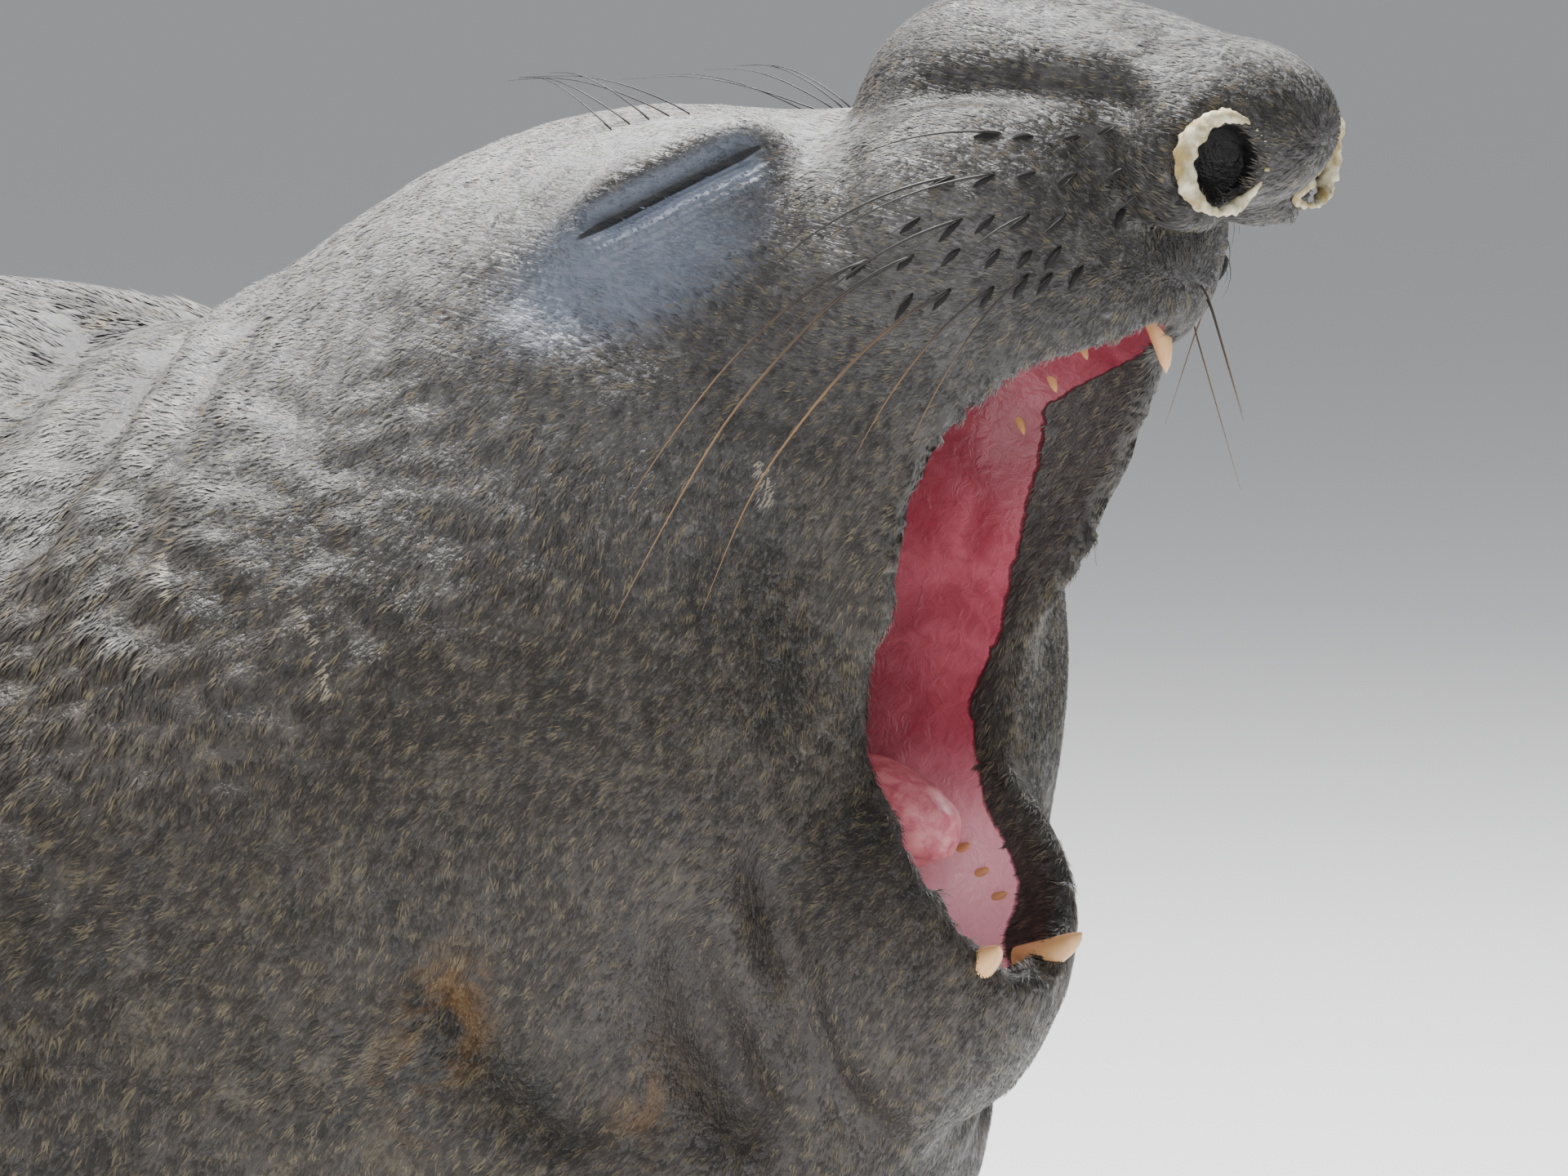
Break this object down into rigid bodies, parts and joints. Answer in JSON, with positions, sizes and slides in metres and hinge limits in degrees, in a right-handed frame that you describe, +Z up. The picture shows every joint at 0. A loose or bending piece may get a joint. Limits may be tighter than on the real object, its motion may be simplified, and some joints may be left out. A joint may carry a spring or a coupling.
{
  "type": "elephant seal",
  "caption": "Life-size elephant seal bull lying on its belly, head raised, mouth wide open, with flippers, tongue, teeth and whiskers.",
  "frame": {"origin": "on the floor, under the middle of the animal's bounding box", "axes": "+X towards the nose, +Y towards the animal's left, +Z up"},
  "size_m": [3.922, 1.486, 0.9658],
  "materials": {
    "coat": "short flat fur, damp sheen",
    "mouth_lining": "wet",
    "tooth": "worn enamel",
    "claw": "horn",
    "whisker": "stiff hair"
  },
  "bodies": {
    "root": {"hips": "coat", "belly": "coat", "chest": "coat", "neck": "coat", "head": "coat", "lower_jaw": "coat", "muzzle": "coat", "nose": "coat", "tongue": "mouth_lining", "eyelid_left": "coat", "eyelid_right": "coat", "fore_flipper_left": "coat", "fore_flipper_right": "coat", "hind_flipper_left": "coat", "hind_flipper_right": "coat", "tail": "coat"}
  },
  "joints": []
}
